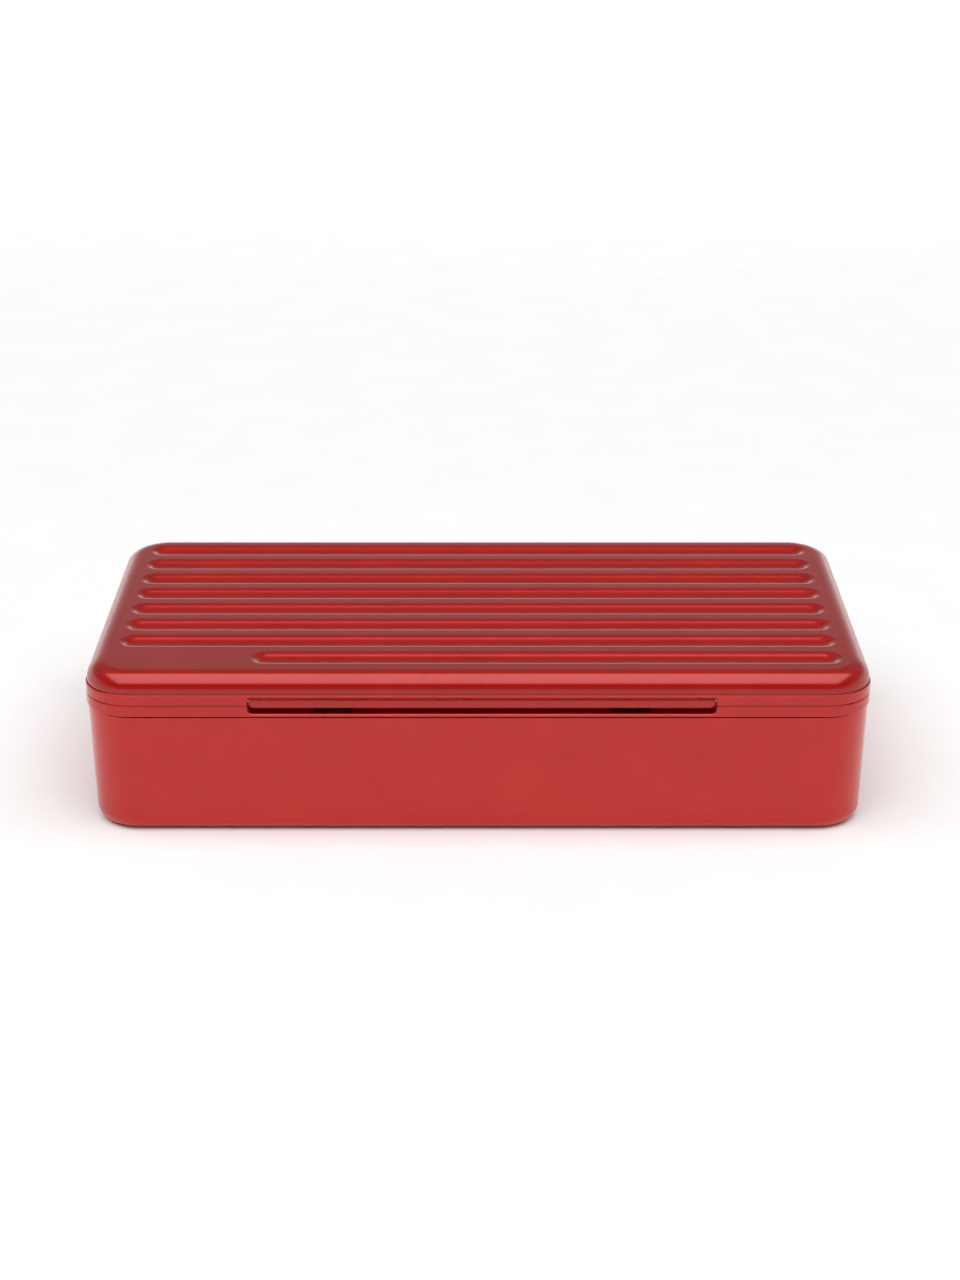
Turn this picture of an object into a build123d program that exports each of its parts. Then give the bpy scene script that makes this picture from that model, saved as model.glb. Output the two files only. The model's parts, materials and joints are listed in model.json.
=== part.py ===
from build123d import *
import math
import os

# Slim metal lunch box: a drawn aluminium tub and a fluted aluminium lid, each screwed to a machined frame.
# The two frames meet at a parting line, turn on two pinned hinges at the back, and are held shut by a
# long sprung latch bar in a slot across the front. Millimetres, X to the right, Y to the back, Z up,
# origin at the middle of the flat underside. "Inset" is a distance inwards from the frames' outer face.

# ---- how far a cutting form runs past the surface it cuts, and joined forms into each other ----
OVERCUT = 1.0
OVERLAP = 0.5

# ---- overall size, over the frames ----
LENGTH = 240.0
DEPTH = 121.0
HEIGHT = 52.4
CORNER_R = 14.7
FRONT_Y = -DEPTH / 2
BACK_Y = DEPTH / 2

# ---- levels of the frames ----
TUB_FRAME_BOTTOM = 39.05
TUB_FRAME_TOP = 42.7
PARTING_GAP = 0.2
LID_FRAME_BOTTOM = TUB_FRAME_TOP + PARTING_GAP
LID_FRAME_TOP = 46.2
SOFT_EDGE = 0.35
TUB_SEAM = 0.35
LID_SEAM = 0.15

# ---- sheet metal shells ----
SHEET = 0.8
TUB_INSET = 0.3
TUB_CORNER_R = 15.4
TUB_DRAFT = 1.45
TUB_BOTTOM_R = 4.2
TUB_SHELL_TOP = TUB_FRAME_BOTTOM - TUB_SEAM
LID_INSET = 0.45
LID_EDGE_R = 5.6
LID_SHELL_BOTTOM = LID_FRAME_TOP + LID_SEAM

# ---- flutes pressed into the lid ----
FLUTE_COUNT = 8
FLUTE_PITCH = 13.3
FLUTE_MID_Y = 1.0
FLUTE_DEPTH = 1.4
FLUTE_FLOOR_R = 5.8
FLUTE_LIP_R = 3.8
FLUTE_END_X = 111.3
SHORT_FLUTE_START_X = -69.5

# ---- frame sections, seal, and the inner rings bonded into the shells ----
LID_FRAME_INNER = 6.8
TUB_FRAME_INNER = 8.1
LIP_OUTER = LID_FRAME_INNER + 0.3
LIP_TOP = TUB_FRAME_TOP + 1.6
SEAL_GROOVE = (4.7, 6.0)
SEAL_GROOVE_TOP = LID_FRAME_BOTTOM + 1.2
SEAL_PLAY = 0.05
SEAL_BOTTOM = TUB_FRAME_TOP + 0.1
SEAL_SOFT_R = 0.4
GASKET = 0.5
TUB_RING = (1.75, 3.65)
TUB_RING_BOTTOM = 34.0
LID_RING = (2.2, 4.0)
LID_RING_TOP = 49.3

# ---- screws ----
FRAME_SCREW_HEAD_R = 1.1
FRAME_SCREW_R = 0.6
FRAME_SCREW_HEAD = 0.6
FRAME_SCREW_LENGTH = 5.6
KEEPER_SCREW_HEAD_R = 0.75
KEEPER_SCREW_R = 0.45
KEEPER_SCREW_HEAD = 0.35
KEEPER_SCREW_LENGTH = 3.5
CROSS_LENGTH = 1.2
CROSS_WIDTH = 0.25
SCREW_FIT = 0.05
SCREW_ROOM = 0.3
TUB_SCREW_INSET = sum(TUB_RING) / 2
LID_SCREW_INSET = sum(LID_RING) / 2
FRONT_SCREW_X = (-90.0, 90.0)
BACK_SCREW_X = (-95.0, -20.0, 20.0, 95.0)
SIDE_SCREW_Y = (-36.0, 0.0, 36.0)

# ---- latch slot, bar and keepers ----
SLOT_X0 = -69.6
SLOT_X1 = 71.9
SLOT_MID_X = (SLOT_X0 + SLOT_X1) / 2
SLOT_BOTTOM = 40.05
SLOT_TOP = 45.2
SLOT_LOW_R = 1.8
SLOT_HIGH_R = 1.0
SLOT_EDGE = 0.25
TUB_POCKET = 3.6
LID_POCKET = 4.0
PIVOT_INSET = 1.7
PIVOT_Z = 44.0
BAR_END_GAP = 0.6
BAR_BARREL_R = 1.0
BAR_THICK = 1.3
BAR_BOTTOM = 41.95
BAR_CORNER_R = 1.4
BAR_BARREL_EDGE = 0.3
HOOK_X = 45.0
HOOK_WIDTH = 12.0
HOOK_INSET = 2.75
HOOK_Z = (42.3, 42.95)
HOOK_ROOM_X = 0.5
KEEPER_POST = (3.05, TUB_POCKET)
KEEPER_NOSE_INSET = 2.3
KEEPER_NOSE_Z = (43.05, 43.65)
KEEPER_SCREW_X = 3.5
KEEPER_SCREW_Z = 41.25

# ---- latch pins and their torsion springs ----
LATCH_PIN_R = 0.4
LATCH_PIN_FIT = 0.01
LATCH_PIN_PLAY = 0.03
LATCH_PIN_IN_FRAME = 4.0
LATCH_PIN_IN_BAR = 6.5
BLIND_ROOM = 0.2
SPRING_WIRE_R = 0.1
SPRING_COIL_R = 0.575
SPRING_PITCH = 0.32
SPRING_TURNS = 6.25
SPRING_LEG_END_Z = 42.6
SPRING_TAIL_INSET = 4.4
SPRING_START_X = 3.9
SPRING_ROOM_X = (1.3, 4.4)
SPRING_ROOM_INSET = 0.95
SPRING_ROOM_Z = PIVOT_Z - 0.8
SPRING_HOLE_FIT = 0.05
SPRING_STEPS = 12

# ---- hinges at the back ----
HINGE_Y = BACK_Y + 1.8
HINGE_Z = (TUB_FRAME_TOP + LID_FRAME_BOTTOM) / 2
HINGE_X = 62.0
KNUCKLE_R = 2.3
KNUCKLE_LENGTH = 8.0
KNUCKLE_GAP = 0.3
KNUCKLES = 5
KNUCKLE_ROOM = 0.3
HINGE_PIN_R = 1.0
HINGE_PIN_FIT = 0.02
HINGE_PIN_PLAY = 0.05
HINGE_PIN_HEAD = 0.4
HINGE_SPAN = KNUCKLES * KNUCKLE_LENGTH + (KNUCKLES - 1) * KNUCKLE_GAP


def prism(inset, z0, z1):
    """A rounded block between two levels, its sides the given inset from the frames' outer face."""
    outline = RectangleRounded(LENGTH - 2 * inset, DEPTH - 2 * inset, CORNER_R - inset)
    return Pos(0, 0, z0) * extrude(outline, z1 - z0)


def ring(outer_inset, inner_inset, z0, z1):
    """A rounded rectangular ring between two levels."""
    return prism(outer_inset, z0, z1) - prism(inner_inset, z0 - OVERCUT, z1 + OVERCUT)


def box_between(x0, x1, y0, y1, z0, z1):
    """A box given by its two corners."""
    centre = Pos((x0 + x1) / 2, (y0 + y1) / 2, (z0 + z1) / 2)
    return centre * Box(x1 - x0, y1 - y0, z1 - z0)


def x_rod(radius, x0, x1, y, z):
    """A round rod along X."""
    return Pos((x0 + x1) / 2, y, z) * Rot(0, 90, 0) * Cylinder(radius, abs(x1 - x0))


def from_front(inset):
    """The Y of a point the given inset behind the front face."""
    return FRONT_Y + inset


def mirrored(shape):
    """The same shape for the other end of the latch slot."""
    return mirror(shape, about=Plane(origin=(SLOT_MID_X, 0, 0), z_dir=(1, 0, 0)))


def soften_outside(body, z, radius):
    """Rounds a frame's edges at one level, those less than half a corner radius inside its outer face."""
    edges = []
    for edge in body.edges().filter_by_position(Axis.Z, z, z):
        centre = edge.center()
        if max(abs(centre.X) - LENGTH / 2, abs(centre.Y) - DEPTH / 2) > -CORNER_R / 2:
            edges.append(edge)
    return fillet(edges, radius)


# ---- shells ----
def tub_form(offset, floor_z):
    """The drawn tub's outer form, or its inner form when offset is the sheet's thickness."""
    inset = TUB_INSET + offset
    outline = RectangleRounded(LENGTH - 2 * inset, DEPTH - 2 * inset, TUB_CORNER_R - offset)
    height = TUB_SHELL_TOP - floor_z
    body = extrude(Pos(0, 0, TUB_SHELL_TOP) * outline, height, dir=(0, 0, -1), taper=TUB_DRAFT)
    bottom = body.faces().sort_by(Axis.Z)[0]
    return fillet(bottom.edges(), TUB_BOTTOM_R - offset)


def make_tub_shell():
    return tub_form(0, 0) - tub_form(SHEET, SHEET)


def lid_form(offset):
    """The fluted lid's outer form, or its inner form when offset is the sheet's thickness."""
    top = HEIGHT - offset
    block = prism(LID_INSET + offset, LID_SHELL_BOTTOM - offset, top)
    block = fillet(block.faces().sort_by(Axis.Z)[-1].edges(), LID_EDGE_R - offset)
    floor_r = FLUTE_FLOOR_R + offset
    lip_r = FLUTE_LIP_R - offset
    centre_z = top - FLUTE_DEPTH + floor_r
    arc_reach = FLUTE_FLOOR_R + FLUTE_LIP_R
    half_width = math.sqrt(arc_reach**2 - (arc_reach - FLUTE_DEPTH) ** 2)
    for n in range(FLUTE_COUNT):
        y = FLUTE_MID_Y + (n - (FLUTE_COUNT - 1) / 2) * FLUTE_PITCH
        start = SHORT_FLUTE_START_X if n == 0 else -FLUTE_END_X
        x0 = start + half_width
        x1 = FLUTE_END_X - half_width
        block -= x_rod(floor_r, x0, x1, y, centre_z)
        block -= Pos(x0, y, centre_z) * Sphere(floor_r)
        block -= Pos(x1, y, centre_z) * Sphere(floor_r)
    top_face = block.faces().filter_by(GeomType.PLANE).sort_by(Axis.Z)[-1]
    rims = [edge for wire in top_face.inner_wires() for edge in wire.edges()]
    return fillet(rims, lip_r)


def make_lid_shell():
    return lid_form(0) - lid_form(SHEET)


# ---- screws ----
def screw_form(head_r, shank_r, head, length, spare=0.0):
    """A countersunk screw's outline, pointing down from the origin, grown by a fit."""
    cone = Pos(0, 0, -head / 2) * Cone(shank_r + spare, head_r + spare, head)
    shank = Pos(0, 0, -(head + length) / 2) * Cylinder(shank_r + spare, length - head)
    return cone + shank


def screw(head_r, shank_r, head, length):
    """A countersunk screw with a cross recess, sized in shares of the head's radius."""
    body = screw_form(head_r, shank_r, head, length)
    for turn in (45, 135):
        body -= Rot(0, 0, turn) * Box(head_r * CROSS_LENGTH, head_r * CROSS_WIDTH, head)
    return body


FRAME_SCREW = (FRAME_SCREW_HEAD_R, FRAME_SCREW_R, FRAME_SCREW_HEAD)
KEEPER_SCREW = (KEEPER_SCREW_HEAD_R, KEEPER_SCREW_R, KEEPER_SCREW_HEAD)


def frame_screw_places(inset, z, pointing_up):
    """Where a frame's screws sit round its straight sides."""
    turn = Rot(180, 0, 0) if pointing_up else Rot(0, 0, 0)
    side_x = LENGTH / 2 - inset
    spots = [(x, from_front(inset)) for x in FRONT_SCREW_X]
    spots += [(x, BACK_Y - inset) for x in BACK_SCREW_X]
    spots += [(side * side_x, y) for side in (-1, 1) for y in SIDE_SCREW_Y]
    return [Pos(x, y, z) * turn for x, y in spots]


TUB_SCREW_PLACES = frame_screw_places(TUB_SCREW_INSET, TUB_FRAME_TOP, False)
LID_SCREW_PLACES = frame_screw_places(LID_SCREW_INSET, LID_FRAME_BOTTOM, True)


def make_frame_screws(places):
    one = screw(*FRAME_SCREW, FRAME_SCREW_LENGTH)
    return Compound([place * one for place in places])


def drilled(body, places):
    """Cuts the frame screws' countersunk holes."""
    hole = screw_form(*FRAME_SCREW, FRAME_SCREW_LENGTH + SCREW_ROOM, SCREW_FIT)
    for place in places:
        body -= place * hole
    return body


# ---- inner rings and gaskets ----
def make_tub_inner_ring():
    return drilled(ring(*TUB_RING, TUB_RING_BOTTOM, TUB_FRAME_BOTTOM - GASKET), TUB_SCREW_PLACES)


def make_tub_gasket():
    return drilled(ring(*TUB_RING, TUB_FRAME_BOTTOM - GASKET, TUB_FRAME_BOTTOM), TUB_SCREW_PLACES)


def make_lid_inner_ring():
    return drilled(ring(*LID_RING, LID_FRAME_TOP + GASKET, LID_RING_TOP), LID_SCREW_PLACES)


def make_lid_gasket():
    return drilled(ring(*LID_RING, LID_FRAME_TOP, LID_FRAME_TOP + GASKET), LID_SCREW_PLACES)


def make_lid_seal():
    outer = SEAL_GROOVE[0] + SEAL_PLAY
    inner = SEAL_GROOVE[1] - SEAL_PLAY
    seal = ring(outer, inner, SEAL_BOTTOM, SEAL_GROOVE_TOP - SEAL_PLAY)
    bottom = seal.faces().sort_by(Axis.Z)[0]
    return fillet(bottom.edges(), SEAL_SOFT_R)


# ---- hinges ----
def knuckle_spans(own_side):
    """X ranges of one frame's knuckles at both hinges: side 0 is the tub's, side 1 the lid's."""
    spans = []
    for hinge_x in (-HINGE_X, HINGE_X):
        for k in range(own_side, KNUCKLES, 2):
            x0 = hinge_x - HINGE_SPAN / 2 + k * (KNUCKLE_LENGTH + KNUCKLE_GAP)
            spans.append((x0, x0 + KNUCKLE_LENGTH))
    return spans


def with_knuckles(frame, own_side, web_z0, web_z1, bore_r):
    """Adds a frame's knuckles with their webs, makes room for the other frame's, and bores them."""
    for x0, x1 in knuckle_spans(1 - own_side):
        frame -= x_rod(KNUCKLE_R + KNUCKLE_ROOM, x0 - KNUCKLE_GAP, x1 + KNUCKLE_GAP, HINGE_Y, HINGE_Z)
    for x0, x1 in knuckle_spans(own_side):
        frame += x_rod(KNUCKLE_R, x0, x1, HINGE_Y, HINGE_Z)
        frame += box_between(x0, x1, BACK_Y - OVERLAP, HINGE_Y, web_z0, web_z1)
    for hinge_x in (-HINGE_X, HINGE_X):
        reach = HINGE_SPAN / 2 + OVERCUT
        frame -= x_rod(bore_r, hinge_x - reach, hinge_x + reach, HINGE_Y, HINGE_Z)
    return frame


def make_hinge_pin(x):
    """A plain pin through one hinge, slightly domed at both ends."""
    half = HINGE_SPAN / 2 + HINGE_PIN_HEAD
    pin = x_rod(HINGE_PIN_R, x - half, x + half, HINGE_Y, HINGE_Z)
    return fillet(pin.edges().filter_by(GeomType.CIRCLE), HINGE_PIN_HEAD)


# ---- latch ----
def slot_cut(depth):
    """The rounded slot across the front, cut to a depth behind the front face, its rim bevelled."""
    mid_z = (SLOT_TOP + SLOT_BOTTOM) / 2
    plane = Plane(origin=(SLOT_MID_X, FRONT_Y - OVERCUT, mid_z), x_dir=(1, 0, 0), z_dir=(0, 1, 0))
    outline = Rectangle(SLOT_X1 - SLOT_X0, SLOT_TOP - SLOT_BOTTOM)
    outline = fillet(outline.vertices().group_by(Axis.Y)[-1], SLOT_LOW_R)
    outline = fillet(outline.vertices().group_by(Axis.Y)[0], SLOT_HIGH_R)
    bevel_start = plane.offset(OVERCUT + SLOT_EDGE)
    bevel = extrude(bevel_start * outline, 2 * SLOT_EDGE, dir=(0, -1, 0), taper=-45)
    return extrude(plane * outline, depth + OVERCUT) + bevel


def keeper_screw_places():
    places = []
    for side in (-1, 1):
        for offset in (-KEEPER_SCREW_X, KEEPER_SCREW_X):
            x = SLOT_MID_X + side * HOOK_X + offset
            places.append(Pos(x, from_front(KEEPER_POST[0]), KEEPER_SCREW_Z) * Rot(90, 0, 0))
    return places


def keeper_drilled(body):
    """Cuts the keeper screws' countersunk holes."""
    hole = screw_form(*KEEPER_SCREW, KEEPER_SCREW_LENGTH + SCREW_ROOM, SCREW_FIT)
    for place in keeper_screw_places():
        body -= place * hole
    return body


def make_keeper(x):
    """A steel strip on the back wall of the slot, its top edge bent forward into a nose for the hook."""
    x0 = x - HOOK_WIDTH / 2
    x1 = x + HOOK_WIDTH / 2
    post = box_between(x0, x1, *map(from_front, KEEPER_POST), SLOT_BOTTOM, KEEPER_NOSE_Z[1])
    nose = box_between(x0, x1, from_front(KEEPER_NOSE_INSET), from_front(KEEPER_POST[0]), *KEEPER_NOSE_Z)
    return keeper_drilled(post + nose)


def make_keeper_screws():
    one = screw(*KEEPER_SCREW, KEEPER_SCREW_LENGTH)
    return Compound([place * one for place in keeper_screw_places()])


def make_latch_bar():
    x0 = SLOT_X0 + BAR_END_GAP
    x1 = SLOT_X1 - BAR_END_GAP
    face = PIVOT_INSET - BAR_BARREL_R
    back = face + BAR_THICK
    plate = box_between(x0, x1, from_front(face), from_front(back), BAR_BOTTOM, PIVOT_Z)
    low_corners = plate.edges().filter_by(Axis.Y).sort_by(Axis.Z)[:2]
    bar = fillet(low_corners, BAR_CORNER_R)
    barrel = x_rod(BAR_BARREL_R, x0, x1, from_front(PIVOT_INSET), PIVOT_Z)
    bar += fillet(barrel.edges().filter_by(GeomType.CIRCLE), BAR_BARREL_EDGE)
    for side in (-1, 1):
        hook_x = SLOT_MID_X + side * HOOK_X
        half = HOOK_WIDTH / 2
        half_room = half + HOOK_ROOM_X
        room_y = (from_front(back), from_front(LID_POCKET))
        hook_y = (from_front(back - OVERLAP), from_front(HOOK_INSET))
        bar -= box_between(hook_x - half_room, hook_x + half_room, *room_y, HOOK_Z[1], SLOT_TOP)
        bar += box_between(hook_x - half, hook_x + half, *hook_y, *HOOK_Z)
    return bar - latch_bar_cuts() - mirrored(latch_bar_cuts())


def latch_bar_cuts():
    """The left end's pin bore, the room for the spring's coil, and the hole for the spring's leg."""
    x0 = SLOT_X0 + BAR_END_GAP
    bore_end = x0 + LATCH_PIN_IN_BAR + BLIND_ROOM
    bore = x_rod(LATCH_PIN_R + LATCH_PIN_PLAY, x0 - OVERCUT, bore_end, from_front(PIVOT_INSET), PIVOT_Z)
    room_x = [x0 + distance for distance in SPRING_ROOM_X]
    room_y = (from_front(SPRING_ROOM_INSET), from_front(LID_POCKET))
    room = box_between(*room_x, *room_y, SPRING_ROOM_Z, PIVOT_Z + BAR_BARREL_R + OVERCUT)
    leg_top = SPRING_ROOM_Z + OVERLAP
    leg_low = SPRING_LEG_END_Z - BLIND_ROOM
    leg_y = from_front(PIVOT_INSET - SPRING_COIL_R)
    leg_place = Pos(x0 + SPRING_START_X, leg_y, (leg_top + leg_low) / 2)
    leg_hole = leg_place * Cylinder(SPRING_WIRE_R + SPRING_HOLE_FIT, leg_top - leg_low)
    return bore + room + leg_hole


def make_latch_pin():
    """The left pivot pin, pressed into the lid frame and running in the bar."""
    x0 = SLOT_X0 - LATCH_PIN_IN_FRAME
    x1 = SLOT_X0 + BAR_END_GAP + LATCH_PIN_IN_BAR
    return x_rod(LATCH_PIN_R, x0, x1, from_front(PIVOT_INSET), PIVOT_Z)


def spring_tail_x():
    """The X where the left spring's coil ends and its tail begins."""
    return SLOT_X0 + BAR_END_GAP + SPRING_START_X - SPRING_PITCH * SPRING_TURNS


def make_latch_spring():
    """The left torsion spring: one leg in the bar's hole, a coil round the pin, and a tail in the frame."""
    start_x = SLOT_X0 + BAR_END_GAP + SPRING_START_X
    axis_y = from_front(PIVOT_INSET)
    leg_y = axis_y - SPRING_COIL_R
    leg_length = PIVOT_Z - SPRING_LEG_END_Z
    tail_z = PIVOT_Z + SPRING_COIL_R
    tail_length = from_front(SPRING_TAIL_INSET) - axis_y
    points = [(start_x, leg_y, SPRING_LEG_END_Z + share * leg_length) for share in (0, 0.3, 0.6, 0.8)]
    for k in range(int(SPRING_TURNS * SPRING_STEPS) + 1):
        turn = 2 * math.pi * k / SPRING_STEPS
        x = start_x - SPRING_PITCH * k / SPRING_STEPS
        points.append((x, axis_y - SPRING_COIL_R * math.cos(turn), PIVOT_Z + SPRING_COIL_R * math.sin(turn)))
    points += [(spring_tail_x(), axis_y + share * tail_length, tail_z) for share in (0.1, 0.25, 0.5, 0.75, 1)]
    path = Spline(*points)
    return sweep(Plane(origin=path @ 0, z_dir=path % 0) * Circle(SPRING_WIRE_R), path=path)


def lid_frame_latch_holes():
    """The left pin's hole in the end of the slot, and the hole for the spring's tail in its back wall."""
    x0 = SLOT_X0 - LATCH_PIN_IN_FRAME - BLIND_ROOM
    pin_hole = x_rod(LATCH_PIN_R + LATCH_PIN_FIT, x0, SLOT_X0 + OVERCUT, from_front(PIVOT_INSET), PIVOT_Z)
    tail_y0 = from_front(LID_POCKET) - OVERCUT
    tail_y1 = from_front(SPRING_TAIL_INSET) + BLIND_ROOM
    tail_mid = Pos(spring_tail_x(), (tail_y0 + tail_y1) / 2, PIVOT_Z + SPRING_COIL_R)
    tail_hole = tail_mid * Rot(90, 0, 0) * Cylinder(SPRING_WIRE_R + SPRING_HOLE_FIT, tail_y1 - tail_y0)
    return pin_hole + tail_hole


# ---- frames ----
def make_tub_frame():
    frame = ring(0, TUB_FRAME_INNER, TUB_FRAME_BOTTOM, TUB_FRAME_TOP)
    frame = soften_outside(frame, TUB_FRAME_TOP, SOFT_EDGE)
    frame = soften_outside(frame, TUB_FRAME_BOTTOM, SOFT_EDGE)
    frame += ring(LIP_OUTER, TUB_FRAME_INNER, TUB_FRAME_TOP - OVERLAP, LIP_TOP)
    frame -= slot_cut(TUB_POCKET)
    frame = keeper_drilled(drilled(frame, TUB_SCREW_PLACES))
    return with_knuckles(frame, 0, HINGE_Z - KNUCKLE_R, TUB_FRAME_TOP, HINGE_PIN_R + HINGE_PIN_FIT)


def make_lid_frame():
    frame = ring(0, LID_FRAME_INNER, LID_FRAME_BOTTOM, LID_FRAME_TOP)
    frame = soften_outside(frame, LID_FRAME_TOP, SOFT_EDGE)
    frame -= ring(*SEAL_GROOVE, LID_FRAME_BOTTOM - 1, SEAL_GROOVE_TOP)
    frame -= slot_cut(LID_POCKET)
    frame = drilled(frame, LID_SCREW_PLACES)
    frame = frame - lid_frame_latch_holes() - mirrored(lid_frame_latch_holes())
    return with_knuckles(frame, 1, LID_FRAME_BOTTOM, HINGE_Z + KNUCKLE_R, HINGE_PIN_R + HINGE_PIN_PLAY)


NODES = {
    "tub_shell": make_tub_shell(),
    "tub_frame": make_tub_frame(),
    "tub_inner_ring": make_tub_inner_ring(),
    "tub_gasket": make_tub_gasket(),
    "tub_frame_screws": make_frame_screws(TUB_SCREW_PLACES),
    "keeper_left": make_keeper(SLOT_MID_X - HOOK_X),
    "keeper_right": make_keeper(SLOT_MID_X + HOOK_X),
    "keeper_screws": make_keeper_screws(),
    "hinge_pin_left": make_hinge_pin(-HINGE_X),
    "hinge_pin_right": make_hinge_pin(HINGE_X),
    "lid_shell": make_lid_shell(),
    "lid_frame": make_lid_frame(),
    "lid_inner_ring": make_lid_inner_ring(),
    "lid_gasket": make_lid_gasket(),
    "lid_frame_screws": make_frame_screws(LID_SCREW_PLACES),
    "lid_seal": make_lid_seal(),
    "latch_pin_left": make_latch_pin(),
    "latch_pin_right": mirrored(make_latch_pin()),
    "latch_spring_left": make_latch_spring(),
    "latch_spring_right": mirrored(make_latch_spring()),
    "latch_bar": make_latch_bar(),
}

os.makedirs("parts", exist_ok=True)
for name, shape in NODES.items():
    export_step(shape, f"parts/{name}.step")
    print(name, len(shape.solids()), round(shape.volume, 1))
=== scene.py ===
import json
import math

import bpy
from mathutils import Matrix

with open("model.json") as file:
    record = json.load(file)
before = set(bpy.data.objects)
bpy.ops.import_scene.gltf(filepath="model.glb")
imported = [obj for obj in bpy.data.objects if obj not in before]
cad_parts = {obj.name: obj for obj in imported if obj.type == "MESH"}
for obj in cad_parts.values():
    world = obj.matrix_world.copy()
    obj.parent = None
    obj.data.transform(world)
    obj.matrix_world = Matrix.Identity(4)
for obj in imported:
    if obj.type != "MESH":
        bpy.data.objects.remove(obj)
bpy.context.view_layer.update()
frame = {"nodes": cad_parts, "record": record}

# A slim red metal lunch box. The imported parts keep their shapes; this script gives them
# their finishes, and sets up the floor, the light and the camera.
# Metres and degrees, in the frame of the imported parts.

nodes = frame["nodes"]

# ---- camera: place, tilt below the horizontal, and lens and sensor in millimetres ----
CAMERA_PLACE = (0.00057, -0.7271, 0.3428)
CAMERA_TILT = 22.67
CAMERA_LENS = 68.3
CAMERA_SENSOR = 36

# ---- floor and lamps ----
FLOOR_SIZE = 8
KEY_SOFTBOX = {"size": (6.0, 4.84), "place": (0, -1.68, 3.2), "radiance": 2.45, "spread": 180}
FAR_FLOOR_LAMP = {"size": (5.0, 3.0), "place": (0, 3.2, 2.6), "radiance": 2.1, "spread": 70}

# ---- surroundings: radiance by the height (Z) of the direction, brightest at the horizon ----
SKY_STOPS = [(0.0, 1.5), (0.15, 0.9), (0.3, 0.38), (0.45, 0.25), (1.0, 0.2)]
# The room is darker in front of the box: share of that radiance by the direction's Y.
FRONT_Y = -0.8
FRONT_SHARE = 0.25
BACK_Y = 0.2
BACK_SHARE = 1.0

# The part of its 0 to 1 range that a noise's values mostly fill.
NOISE_LOW = 0.3
NOISE_HIGH = 0.7


# ---- node helpers ----
def new_material(name):
    mat = bpy.data.materials.new(name)
    mat.use_nodes = True
    tree = mat.node_tree
    tree.nodes.clear()
    out = tree.nodes.new("ShaderNodeOutputMaterial")
    bsdf = tree.nodes.new("ShaderNodeBsdfPrincipled")
    tree.links.new(bsdf.outputs["BSDF"], out.inputs["Surface"])
    return mat, tree, bsdf


def add(tree, kind, **values):
    """A new node with its sockets or properties set by name."""
    node = tree.nodes.new("ShaderNode" + kind)
    for key, value in values.items():
        name = key.replace("_", " ")
        if name in node.inputs:
            node.inputs[name].default_value = value
        else:
            setattr(node, key, value)
    return node


def link(tree, source, socket, target, into):
    tree.links.new(source.outputs[socket], target.inputs[into])


def noise(tree, scale, detail, stretch=(1, 1, 1)):
    """Noise in object coordinates, with about this many blotches per metre."""
    coords = add(tree, "TexCoord")
    mapping = add(tree, "Mapping", Scale=stretch)
    tex = add(tree, "TexNoise", Scale=scale, Detail=detail, Roughness=0.55)
    link(tree, coords, "Object", mapping, "Vector")
    link(tree, mapping, "Vector", tex, "Vector")
    return tex


def colour_from(tree, source, bsdf, low, high):
    """The base colour follows a noise from one colour to another."""
    node = add(tree, "ValToRGB")
    first, last = node.color_ramp.elements
    first.position = NOISE_LOW
    last.position = NOISE_HIGH
    first.color = (*low, 1)
    last.color = (*high, 1)
    link(tree, source, "Fac", node, "Fac")
    link(tree, node, "Color", bsdf, "Base Color")


def roughness_from(tree, source, bsdf, low, high):
    """The roughness follows a noise from one value to another."""
    node = add(tree, "MapRange", From_Min=NOISE_LOW, From_Max=NOISE_HIGH, To_Min=low, To_Max=high)
    link(tree, source, "Fac", node, "Value")
    link(tree, node, "Result", bsdf, "Roughness")


def bump_from(tree, source, bsdf, strength, distance):
    node = add(tree, "Bump", Strength=strength, Distance=distance)
    link(tree, source, "Fac", node, "Height")
    link(tree, node, "Normal", bsdf, "Normal")


# ---- finishes ----
def anodised_red(name, colours, roughness):
    """Bead-blasted aluminium, dyed red: a tinted metal under a thin clear oxide layer."""
    mat, tree, bsdf = new_material(name)
    cloud = noise(tree, scale=45, detail=4)
    colour_from(tree, cloud, bsdf, *colours)
    wear = noise(tree, scale=160, detail=5)
    roughness_from(tree, wear, bsdf, *roughness)
    grain = noise(tree, scale=5200, detail=2)
    bump_from(tree, grain, bsdf, strength=0.10, distance=0.00006)
    bsdf.inputs["Metallic"].default_value = 1.0
    bsdf.inputs["Coat Weight"].default_value = 1.0
    bsdf.inputs["Coat Roughness"].default_value = 0.18
    bsdf.inputs["Coat IOR"].default_value = 1.5
    return mat


def silicone():
    mat, tree, bsdf = new_material("dark_silicone")
    dust = noise(tree, scale=700, detail=4)
    colour_from(tree, dust, bsdf, low=(0.020, 0.018, 0.018), high=(0.045, 0.040, 0.040))
    roughness_from(tree, dust, bsdf, low=0.55, high=0.75)
    bump_from(tree, dust, bsdf, strength=0.15, distance=0.00005)
    return mat


def steel(name, colours):
    """Steel brushed along the box's length."""
    mat, tree, bsdf = new_material(name)
    brushed = noise(tree, scale=1500, detail=3, stretch=(0.15, 1, 1))
    colour_from(tree, brushed, bsdf, *colours)
    roughness_from(tree, brushed, bsdf, low=0.24, high=0.40)
    bump_from(tree, brushed, bsdf, strength=0.12, distance=0.00004)
    bsdf.inputs["Metallic"].default_value = 1.0
    return mat


def floor_paint():
    mat, tree, bsdf = new_material("studio_floor")
    grain = noise(tree, scale=30, detail=3)
    colour_from(tree, grain, bsdf, low=(0.88, 0.88, 0.88), high=(0.90, 0.90, 0.90))
    bsdf.inputs["Roughness"].default_value = 0.9
    bsdf.inputs["Specular IOR Level"].default_value = 0.0
    return mat


def put_finish(node, finish):
    slots = nodes[node].data.materials
    slots.clear()
    slots.append(finish)


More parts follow.
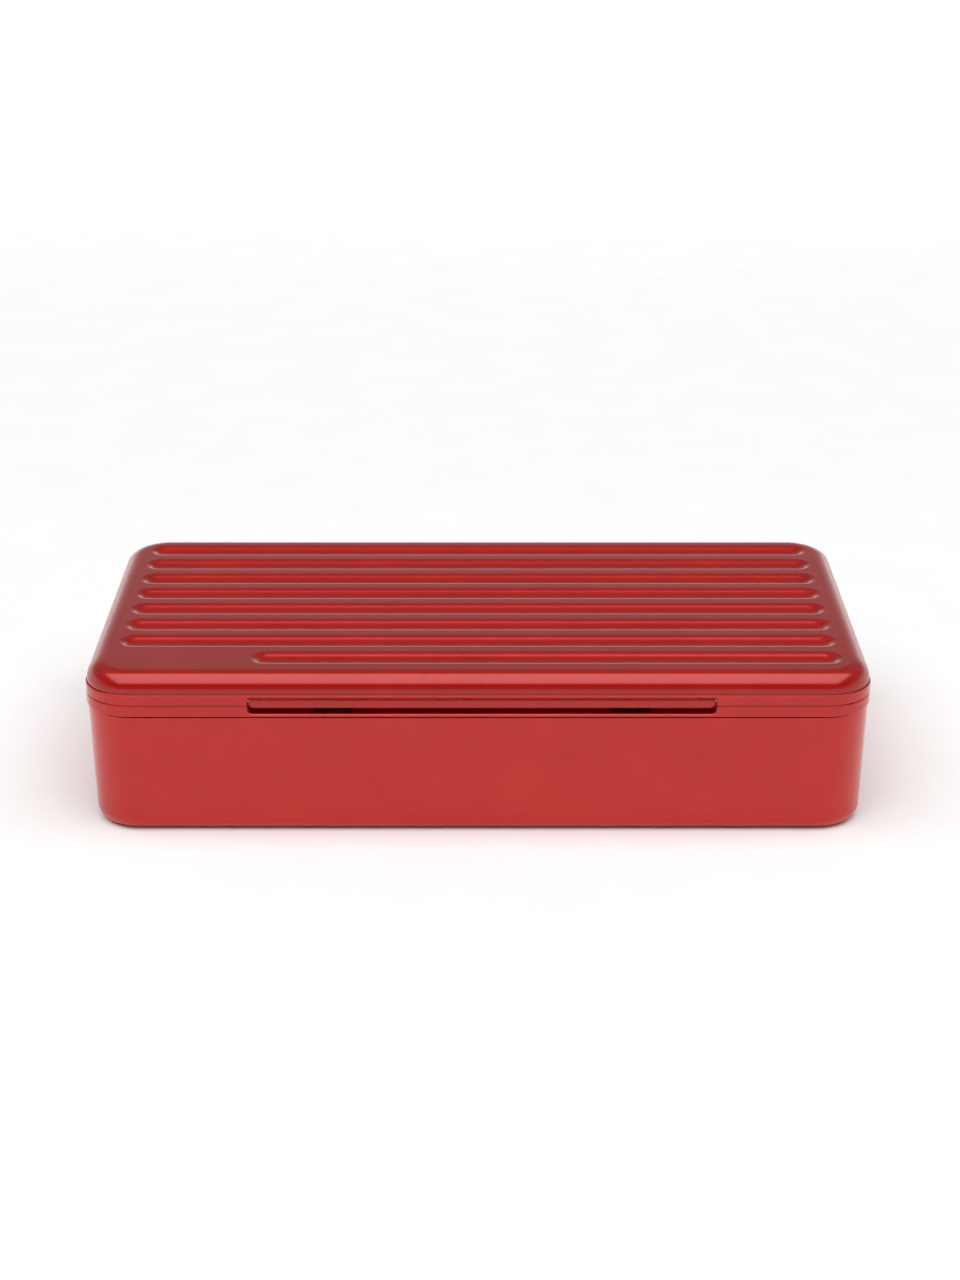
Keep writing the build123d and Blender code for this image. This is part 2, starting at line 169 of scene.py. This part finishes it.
tub_red = anodised_red("anodised_tub", [(0.53, 0.005, 0.001), (0.57, 0.008, 0.001)], (0.55, 0.61))
# Painted shade: the lid's red is a darker copy of the tub's red, for how the light falls on its top.
lid_red_painted_shade = anodised_red("anodised_lid_painted_shade", [(0.43, 0.004, 0.001), (0.47, 0.007, 0.002)], (0.62, 0.69))
frame_red = anodised_red("anodised_frame", [(0.51, 0.006, 0.001), (0.55, 0.009, 0.002)], (0.55, 0.61))
# Painted shade: the latch bar's red is a darker copy of the same anodised red, for the shade it sits
# in, recessed in its slot.
latch_red_painted_shade = anodised_red("anodised_latch_painted_shade", [(0.45, 0.005, 0.002), (0.49, 0.008, 0.003)], (0.56, 0.62))
finishes = {
    "red_anodised": tub_red,
    "red_frame": frame_red,
    "red_latch": latch_red_painted_shade,
    "dark_silicone": silicone(),
    "steel": steel("stainless_steel", [(0.50, 0.50, 0.49), (0.66, 0.66, 0.64)]),
    # The dark_steel parts are near black partly as blackened steel and partly as painted shade, so
    # they sit dark in the shaded gap under the latch bar.
    "dark_steel": steel("blackened_steel_painted_shade", [(0.020, 0.018, 0.018), (0.045, 0.040, 0.040)]),
}
for part in frame["record"]["subparts"]:
    put_finish(part["node"], finishes[part["material_slot"]])

# The lid takes a darker copy of the tub's red, which is painted shade for the light on its top, and
# is a little rougher.
put_finish("lid_shell", lid_red_painted_shade)

# ---- floor ----
bpy.ops.mesh.primitive_plane_add(size=FLOOR_SIZE, location=(0, 0, 0))
floor = bpy.context.object
floor.name = "studio_floor"
floor.data.materials.append(floor_paint())


# ---- light ----
def softbox(name, size, place, radiance, spread):
    """A rectangular area light that faces straight down.

    With the full spread of 180 degrees it shows this radiance in reflections.
    """
    data = bpy.data.lights.new(name, "AREA")
    data.shape = "RECTANGLE"
    data.size, data.size_y = size
    data.spread = math.radians(spread)
    data.energy = radiance * math.pi * size[0] * size[1]
    lamp = bpy.data.objects.new(name, data)
    bpy.context.scene.collection.objects.link(lamp)
    lamp.location = place


def put_grey_stops(color_ramp, stops):
    """Puts (position, grey) stops on a new colour ramp, which already has its first and last."""
    for at, _ in stops[1:-1]:
        color_ramp.elements.new(at)
    for element, (at, grey) in zip(color_ramp.elements, stops):
        element.position = at
        element.color = (grey, grey, grey, 1)


def surroundings():
    """A plain grey room, paler towards the horizon and darker in front of the box."""
    world = bpy.data.worlds.new("studio")
    bpy.context.scene.world = world
    world.use_nodes = True
    tree = world.node_tree
    tree.nodes.clear()
    out = tree.nodes.new("ShaderNodeOutputWorld")
    background = add(tree, "Background", Strength=1.0)
    direction = add(tree, "TexCoord")
    split = add(tree, "SeparateXYZ")
    height = add(tree, "ValToRGB")
    share = add(
        tree, "MapRange",
        From_Min=FRONT_Y, From_Max=BACK_Y, To_Min=FRONT_SHARE, To_Max=BACK_SHARE,
    )
    dimmed = add(tree, "VectorMath", operation="SCALE")
    put_grey_stops(height.color_ramp, SKY_STOPS)
    link(tree, direction, "Generated", split, "Vector")
    link(tree, split, "Z", height, "Fac")
    link(tree, split, "Y", share, "Value")
    link(tree, height, "Color", dimmed, "Vector")
    link(tree, share, "Result", dimmed, "Scale")
    link(tree, dimmed, "Vector", background, "Color")
    link(tree, background, "Background", out, "Surface")


softbox("key_softbox", **KEY_SOFTBOX)
softbox("far_floor_lamp", **FAR_FLOOR_LAMP)
surroundings()

# ---- camera ----
camera_data = bpy.data.cameras.new("camera")
camera = bpy.data.objects.new("camera", camera_data)
bpy.context.scene.collection.objects.link(camera)
bpy.context.scene.camera = camera
camera_data.sensor_width = CAMERA_SENSOR
camera_data.lens = CAMERA_LENS
camera.location = CAMERA_PLACE
camera.rotation_euler = (math.radians(90 - CAMERA_TILT), 0, 0)

bpy.context.scene.view_settings.view_transform = "Standard"
